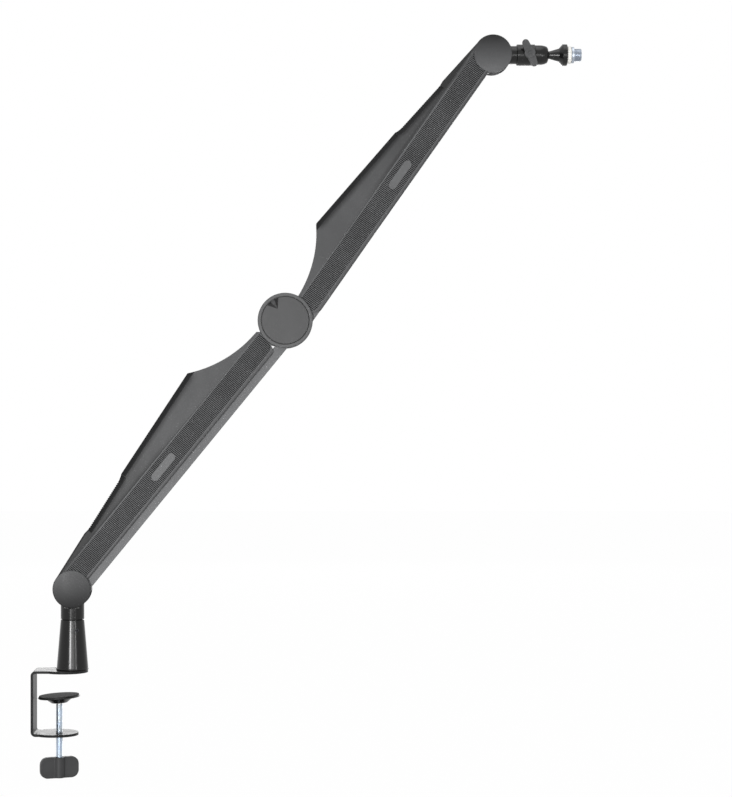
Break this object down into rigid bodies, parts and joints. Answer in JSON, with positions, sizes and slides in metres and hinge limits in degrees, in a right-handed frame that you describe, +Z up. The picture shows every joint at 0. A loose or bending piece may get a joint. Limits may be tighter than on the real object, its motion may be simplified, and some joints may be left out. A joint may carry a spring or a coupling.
{
  "type": "microphone boom arm",
  "caption": "Desk-clamped microphone boom arm with two self-levelling parallelogram arms, ball head and threaded end.",
  "frame": {"origin": "on the swivel post's axis, at the underside of the clamp's top jaw, where the desk top meets it", "axes": "+Z up along the swivel post, +X the way the arm reaches and the microphone thread points, -Y the front of the arm"},
  "size_m": [0.6891, 0.057, 0.9318],
  "materials": {
    "graphite": "fine satin graphite paint",
    "arm_paint": "fine satin graphite paint on cast aluminium",
    "ribbed": "matt dark grey, finely ribbed",
    "cover": "matt black",
    "gloss_black": "glossy black paint",
    "black_plastic": "satin black plastic",
    "link_paint": "satin grey paint",
    "steel": "bare steel",
    "zinc": "bluish zinc plate",
    "nylon": "off-white nylon",
    "rubber": "matt black rubber",
    "badge": "satin grey, bare"
  },
  "bodies": {
    "clamp": {"clamp_frame": "graphite", "post_bolt": "steel", "post_cone": "gloss_black", "post_bush": "nylon", "grub_screw": "zinc", "swivel_washer": "nylon"},
    "swivel": {"swivel_head": "gloss_black", "swivel_spigot": "steel", "base_pin": "steel", "base_link_pin": "steel", "base_washers": "nylon", "base_disc_front": "arm_paint", "base_disc_rear": "arm_paint"},
    "lower_arm": {"lower_shell": "arm_paint", "lower_cable_cover": "cover", "lower_panel_front": "ribbed", "lower_panel_rear": "ribbed", "lower_badge_front": "badge", "lower_badge_rear": "badge", "lower_spring": "zinc", "lower_spring_pin": "steel"},
    "lower_second_link": {"lower_link": "link_paint"},
    "hub": {"hub_core": "black_plastic", "hub_plate_front": "arm_paint", "hub_plate_rear": "arm_paint", "hub_cap_front": "arm_paint", "hub_cap_rear": "arm_paint", "hub_stub_pins": "steel", "hub_link_pins": "steel", "hub_screws": "zinc"},
    "upper_arm": {"upper_shell": "arm_paint", "upper_cable_cover": "cover", "upper_panel_front": "ribbed", "upper_panel_rear": "ribbed", "upper_badge_front": "badge", "upper_badge_rear": "badge", "upper_spring": "zinc", "upper_spring_pin": "steel"},
    "upper_second_link": {"upper_link": "link_paint"},
    "head": {"head_block": "gloss_black", "head_pin": "steel", "head_link_pin": "steel", "head_washers": "nylon", "head_disc_front": "arm_paint", "head_disc_rear": "arm_paint"},
    "housing": {"ball_housing": "gloss_black"},
    "seat": {"ball_seat": "nylon"},
    "stem": {"ball_stem": "gloss_black", "stem_washer": "nylon", "stem_stud": "steel", "thread_adapter": "steel"},
    "wing": {"wing_screw": "black_plastic"},
    "pad_carrier": {"pad_retainer": "nylon"},
    "pad": {"clamp_pad": "gloss_black", "pad_rubber": "rubber"},
    "screw": {"clamp_screw": "zinc", "clamp_knob": "black_plastic"}
  },
  "joints": [
    {"name": "base_swivel", "type": "hinge", "parent": "clamp", "child": "swivel", "pos_m": [0, 0, 0.0685], "axis": [0, 0, 1], "continuous": true},
    {"name": "lower_lift", "type": "hinge", "parent": "swivel", "child": "lower_arm", "pos_m": [0, 0, 0.1047], "axis": [0, -1, 0], "range_deg": [-37, 40]},
    {"name": "lower_second_turn", "type": "hinge", "parent": "swivel", "child": "lower_second_link", "pos_m": [0.01693, 0, 0.10618], "axis": [0, -1, 0], "range_deg": [-37.5, 40.5]},
    {"name": "hub_level", "type": "hinge", "parent": "lower_arm", "child": "hub", "pos_m": [0.25227, 0, 0.41512], "axis": [0, -1, 0], "range_deg": [-40.5, 37.5]},
    {"name": "upper_lift", "type": "hinge", "parent": "hub", "child": "upper_arm", "pos_m": [0.2964, 0, 0.44826], "axis": [0, -1, 0], "range_deg": [-80, 8]},
    {"name": "upper_second_turn", "type": "hinge", "parent": "hub", "child": "upper_second_link", "pos_m": [0.29004, 0, 0.43249], "axis": [0, -1, 0], "range_deg": [-80.5, 8.5]},
    {"name": "head_level", "type": "hinge", "parent": "upper_arm", "child": "head", "pos_m": [0.52726, 0, 0.77491], "axis": [0, -1, 0], "range_deg": [-8.5, 80.5]},
    {"name": "head_swivel", "type": "hinge", "parent": "head", "child": "housing", "pos_m": [0.55756, 0, 0.77491], "axis": [1, 0, 0], "continuous": true},
    {"name": "ball_pan", "type": "hinge", "parent": "housing", "child": "seat", "pos_m": [0.58996, 0, 0.77491], "axis": [0, 0, 1], "range_deg": [-12, 12]},
    {"name": "ball_tilt", "type": "hinge", "parent": "seat", "child": "stem", "pos_m": [0.58996, 0, 0.77491], "axis": [0, -1, 0], "range_deg": [-12, 12]},
    {"name": "wing_turn", "type": "hinge", "parent": "housing", "child": "wing", "pos_m": [0.57286, 0, 0.77491], "axis": [0, 1, 0], "range_deg": [-120, 120]},
    {"name": "clamp_travel", "type": "slide", "parent": "clamp", "child": "pad_carrier", "axis": [0, 0, 1], "range_m": [-0.033, 0.023]},
    {"name": "pad_tilt", "type": "hinge", "parent": "pad_carrier", "child": "pad", "pos_m": [-0.0166, 0, -0.036], "axis": [0, 1, 0], "range_deg": [-4, 4]},
    {"name": "screw_turn", "type": "hinge", "parent": "pad_carrier", "child": "screw", "pos_m": [-0.0166, 0, -0.0915], "axis": [0, 0, 1], "range_deg": [-9648, 6768]}
  ],
  "couplings": [
    {"joint": "lower_second_turn", "follows": "lower_lift", "ratio": 1},
    {"joint": "hub_level", "follows": "lower_lift", "ratio": -1},
    {"joint": "upper_second_turn", "follows": "upper_lift", "ratio": 1},
    {"joint": "head_level", "follows": "upper_lift", "ratio": -1},
    {"joint": "screw_turn", "follows": "clamp_travel", "rad_per_m": 5026.5}
  ]
}
